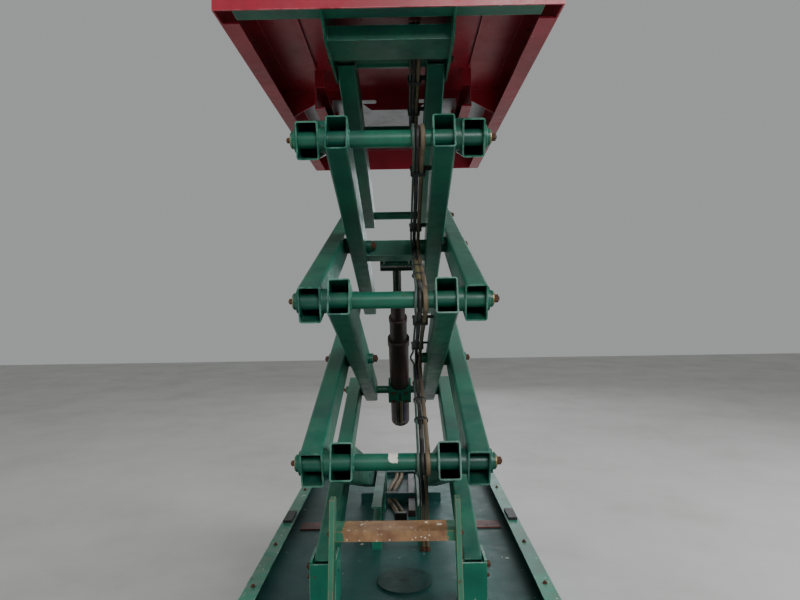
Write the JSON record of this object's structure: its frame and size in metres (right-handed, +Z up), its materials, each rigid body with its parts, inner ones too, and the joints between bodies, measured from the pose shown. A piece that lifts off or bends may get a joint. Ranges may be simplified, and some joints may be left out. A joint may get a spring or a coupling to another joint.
{
  "type": "electric scissor lift with a raised platform",
  "caption": "Slab electric scissor lift: wheeled chassis, stacked box-section arms, telescopic cylinder and a railed platform with gate and roll-out extension.",
  "frame": {"origin": "on the floor below the middle of the lift's bounding box", "axes": "+X across the lift to the right seen from the ladder, +Y along the lift away from the ladder, +Z up"},
  "size_m": [1.17, 2.66, 3.759],
  "materials": {
    "aluminium_plate": "rolled plate",
    "control_plastic": "moulded plastic",
    "cylinder_chrome": "dark ground steel",
    "cylinder_paint": "dark primer",
    "dark_steel": "satin black paint",
    "green_paint": "worn gloss paint",
    "hose_rubber": "rubber hose",
    "rail_paint": "worn gloss paint",
    "red_paint": "faded gloss paint",
    "tyre_rubber": "worn solid rubber",
    "wheel_steel": "painted pressed steel",
    "worn_green_steel": "paint worn to rust"
  },
  "bodies": {
    "chassis": {"chassis_rails": "green_paint", "chassis_tray": "green_paint", "chassis_beams": "dark_steel", "battery_housing": "green_paint", "hydraulic_housing": "green_paint", "arm_brackets": "green_paint", "lower_tracks": "green_paint", "tray_fittings": "green_paint", "ladder": "worn_green_steel", "axle_fixed": "dark_steel", "axle_steer": "dark_steel"},
    "knuckle_left": {"knuckle_left": "dark_steel"},
    "knuckle_right": {"knuckle_right": "dark_steel"},
    "wheel_steer_left": {"tyre_steer_left": "tyre_rubber", "rim_steer_left": "wheel_steel"},
    "wheel_steer_right": {"tyre_steer_right": "tyre_rubber", "rim_steer_right": "wheel_steel"},
    "wheel_fixed_left": {"tyre_fixed_left": "tyre_rubber", "rim_fixed_left": "wheel_steel"},
    "wheel_fixed_right": {"tyre_fixed_right": "tyre_rubber", "rim_fixed_right": "wheel_steel"},
    "outer_1": {"outer_arms_1": "green_paint"},
    "inner_1": {"inner_arms_1": "green_paint", "hose_inner_1": "hose_rubber"},
    "outer_2": {"outer_arms_2": "green_paint", "hose_outer_2": "hose_rubber"},
    "inner_2": {"inner_arms_2": "green_paint", "hose_inner_2": "hose_rubber"},
    "outer_3": {"outer_arms_3": "green_paint", "hose_outer_3": "hose_rubber"},
    "inner_3": {"inner_arms_3": "green_paint", "hose_inner_3": "hose_rubber"},
    "outer_4": {"outer_arms_4": "green_paint", "hose_outer_4": "hose_rubber"},
    "inner_4": {"inner_arms_4": "green_paint", "hose_inner_4": "hose_rubber"},
    "cylinder_barrel": {"cylinder_barrel": "cylinder_paint"},
    "cylinder_sleeve_low": {"cylinder_sleeve_low": "cylinder_paint"},
    "cylinder_sleeve_high": {"cylinder_sleeve_high": "cylinder_paint"},
    "cylinder_rod": {"cylinder_rod": "cylinder_chrome"},
    "platform": {"platform_frame": "red_paint", "deck_sheet": "red_paint", "deck_far_sheet": "aluminium_plate", "top_bracket": "green_paint", "upper_tracks": "red_paint", "guardrail_left": "rail_paint", "guardrail_right": "rail_paint", "guardrail_near": "rail_paint", "control_box": "control_plastic"},
    "gate": {"gate": "rail_paint"},
    "extension": {"extension_deck": "aluminium_plate", "extension_guardrail": "rail_paint"}
  },
  "joints": [
    {"name": "lift", "type": "hinge", "parent": "chassis", "child": "outer_1", "pos_m": [0, -0.708, 0.532], "axis": [1, 0, 0], "range_deg": [-12.3, 44.7]},
    {"name": "centre_1", "type": "hinge", "parent": "outer_1", "child": "inner_1", "pos_m": [0, -0.09695, 0.72232], "axis": [1, 0, 0], "range_deg": [-89.9, 25.1]},
    {"name": "end_1", "type": "hinge", "parent": "inner_1", "child": "outer_2", "pos_m": [0, -0.98011, 0.99739], "axis": [1, 0, 0], "range_deg": [-25.1, 89.9]},
    {"name": "centre_2", "type": "hinge", "parent": "outer_2", "child": "inner_2", "pos_m": [0, -0.09695, 1.27246], "axis": [1, 0, 0], "range_deg": [-89.9, 25.1]},
    {"name": "end_2", "type": "hinge", "parent": "inner_2", "child": "outer_3", "pos_m": [0, -0.98011, 1.54754], "axis": [1, 0, 0], "range_deg": [-25.1, 89.9]},
    {"name": "centre_3", "type": "hinge", "parent": "outer_3", "child": "inner_3", "pos_m": [0, -0.09695, 1.82261], "axis": [1, 0, 0], "range_deg": [-89.9, 25.1]},
    {"name": "end_3", "type": "hinge", "parent": "inner_3", "child": "outer_4", "pos_m": [0, -0.98011, 2.09768], "axis": [1, 0, 0], "range_deg": [-25.1, 89.9]},
    {"name": "centre_4", "type": "hinge", "parent": "outer_4", "child": "inner_4", "pos_m": [0, -0.09695, 2.37275], "axis": [1, 0, 0], "range_deg": [-89.9, 25.1]},
    {"name": "platform_level", "type": "hinge", "parent": "inner_4", "child": "platform", "pos_m": [0, -0.58866, 2.5259], "axis": [1, 0, 0], "range_deg": [-12.8, 45.2]},
    {"name": "cylinder_tilt", "type": "hinge", "parent": "outer_1", "child": "cylinder_barrel", "pos_m": [0, 0.7862, 0.99739], "axis": [1, 0, 0], "range_deg": [-74.7, 20.92]},
    {"name": "cylinder_slide_1", "type": "slide", "parent": "cylinder_barrel", "child": "cylinder_sleeve_low", "axis": [0, -0.6388, 0.7694], "range_m": [-0.12172, 0.43708]},
    {"name": "cylinder_slide_2", "type": "slide", "parent": "cylinder_sleeve_low", "child": "cylinder_sleeve_high", "axis": [0, -0.6388, 0.7694], "range_m": [-0.12172, 0.43708]},
    {"name": "cylinder_slide_3", "type": "slide", "parent": "cylinder_sleeve_high", "child": "cylinder_rod", "axis": [0, -0.6388, 0.7694], "range_m": [-0.12172, 0.43708]},
    {"name": "steer_left", "type": "hinge", "parent": "chassis", "child": "knuckle_left", "pos_m": [-0.425, -0.95, 0.178], "axis": [0, 0, 1], "range_deg": [-40, 40]},
    {"name": "roll_steer_left", "type": "hinge", "parent": "knuckle_left", "child": "wheel_steer_left", "pos_m": [-0.522, -0.95, 0.178], "axis": [1, 0, 0], "continuous": true},
    {"name": "roll_fixed_left", "type": "hinge", "parent": "chassis", "child": "wheel_fixed_left", "pos_m": [-0.522, 0.75, 0.178], "axis": [1, 0, 0], "continuous": true},
    {"name": "steer_right", "type": "hinge", "parent": "chassis", "child": "knuckle_right", "pos_m": [0.425, -0.95, 0.178], "axis": [0, 0, 1], "range_deg": [-40.2, 40.2]},
    {"name": "roll_steer_right", "type": "hinge", "parent": "knuckle_right", "child": "wheel_steer_right", "pos_m": [0.522, -0.95, 0.178], "axis": [1, 0, 0], "continuous": true},
    {"name": "roll_fixed_right", "type": "hinge", "parent": "chassis", "child": "wheel_fixed_right", "pos_m": [0.522, 0.75, 0.178], "axis": [1, 0, 0], "continuous": true},
    {"name": "gate_hinge", "type": "hinge", "parent": "platform", "child": "gate", "pos_m": [-0.285, -1.031, 3.155], "axis": [0, 0, 1], "range_deg": [0, 90]},
    {"name": "extension_slide", "type": "slide", "parent": "platform", "child": "extension", "axis": [0, 1, 0], "range_m": [0, 0.9]}
  ],
  "couplings": [
    {"joint": "centre_1", "follows": "lift", "ratio": -2},
    {"joint": "end_1", "follows": "lift", "ratio": 2},
    {"joint": "centre_2", "follows": "lift", "ratio": -2},
    {"joint": "end_2", "follows": "lift", "ratio": 2},
    {"joint": "centre_3", "follows": "lift", "ratio": -2},
    {"joint": "end_3", "follows": "lift", "ratio": 2},
    {"joint": "centre_4", "follows": "lift", "ratio": -2},
    {"joint": "platform_level", "follows": "lift", "ratio": 1},
    {"joint": "cylinder_tilt", "follows": "lift", "ratio": -1.66},
    {"joint": "cylinder_slide_1", "follows": "lift", "m_per_rad": 0.55768},
    {"joint": "cylinder_slide_2", "follows": "lift", "m_per_rad": 0.55768},
    {"joint": "cylinder_slide_3", "follows": "lift", "m_per_rad": 0.55768},
    {"joint": "steer_right", "follows": "steer_left", "ratio": 1}
  ]
}
